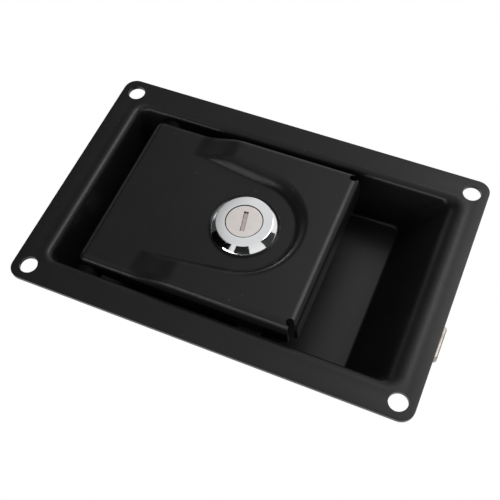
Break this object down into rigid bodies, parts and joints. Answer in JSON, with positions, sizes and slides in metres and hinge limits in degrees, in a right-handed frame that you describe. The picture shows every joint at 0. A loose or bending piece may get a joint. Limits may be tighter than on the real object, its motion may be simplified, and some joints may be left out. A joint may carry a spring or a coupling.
{
  "type": "paddle latch",
  "caption": "Recessed paddle latch: pressed pan with corner screw holes, lifting paddle with a key lock, rocker-driven spring bolt behind.",
  "frame": {"origin": "centre of the four corner screw holes, on the flange's back face, which sits on the panel", "axes": "+Z out of the panel towards the user, +X along the flange towards the bolt's nose and the paddle's pull edge, +Y across"},
  "size_m": [0.141, 0.091, 0.0511],
  "materials": {
    "black_ecoat": "satin black electro-coat over pressed steel",
    "zinc_steel": "zinc plated steel",
    "bolt_steel": "plain machined steel with a pale passivated tint",
    "spring_steel": "drawn spring wire",
    "bright_chrome": "polished chrome plate",
    "satin_nickel": "satin nickel, fine turned lines",
    "shutter_steel": "dull sheet steel",
    "brass": "plain brass",
    "black_nylon": "black nylon"
  },
  "bodies": {
    "pan": {"mounting_pan": "black_ecoat", "paddle_stops": "black_ecoat", "pivot_pin": "zinc_steel", "pivot_pin_clip": "spring_steel", "pivot_spacers": "black_nylon", "paddle_return_springs": "spring_steel", "rocker_bracket": "zinc_steel", "rocker_pin": "zinc_steel", "rocker_pin_clip": "spring_steel", "rocker_spacers": "zinc_steel", "front_bolt_guide": "zinc_steel", "rear_bolt_guide": "zinc_steel", "spring_anchor": "zinc_steel", "bolt_spring": "spring_steel", "floor_rivets": "zinc_steel", "lock_keeper": "zinc_steel", "keeper_rivets": "zinc_steel"},
    "paddle": {"paddle": "black_ecoat", "drive_bracket": "black_ecoat", "drive_roller": "zinc_steel", "lock_body": "bright_chrome", "lock_washer": "zinc_steel", "lock_nut": "zinc_steel"},
    "lock_cylinder": {"lock_plug": "satin_nickel", "wafer_tumblers": "brass", "lock_cam": "zinc_steel", "cam_washer": "zinc_steel", "cam_screw": "zinc_steel"},
    "shutter": {"keyway_shutter": "shutter_steel"},
    "rocker": {"rocker": "zinc_steel"},
    "bolt": {"bolt_slide": "zinc_steel", "latch_bolt": "bolt_steel", "bolt_rivets": "zinc_steel", "drive_pin": "zinc_steel"}
  },
  "joints": [
    {"name": "paddle_hinge", "type": "hinge", "parent": "pan", "child": "paddle", "pos_m": [-0.047, 0, -0.0055], "axis": [0, -1, 0], "range_deg": [0, 35], "stiffness_Nm_per_rad": 0.25, "springref_deg": -20.05, "deforming": ["paddle_return_springs"]},
    {"name": "rocker_pivot", "type": "hinge", "parent": "pan", "child": "rocker", "pos_m": [-0.04269, 0, -0.029], "axis": [0, -1, 0], "range_deg": [-56.31, 0]},
    {"name": "bolt_travel", "type": "slide", "parent": "pan", "child": "bolt", "axis": [-1, 0, 0], "range_m": [0, 0.00922], "deforming": ["bolt_spring"]},
    {"name": "key_turn", "type": "hinge", "parent": "paddle", "child": "lock_cylinder", "pos_m": [-0.0026, 0, 0.0047], "axis": [0, 0, -1], "range_deg": [0, 90]},
    {"name": "shutter_hinge", "type": "hinge", "parent": "lock_cylinder", "child": "shutter", "pos_m": [-0.00429, -0.00034, 0.0035], "axis": [-0.1959, 0.9806, 0], "range_deg": [0, 80], "stiffness_Nm_per_rad": 0.0004, "springref_deg": -28.65}
  ],
  "couplings": [
    {"joint": "rocker_pivot", "follows": "paddle_hinge", "ratio": -1.6076},
    {"joint": "bolt_travel", "follows": "paddle_hinge", "m_per_rad": 0.015055}
  ]
}
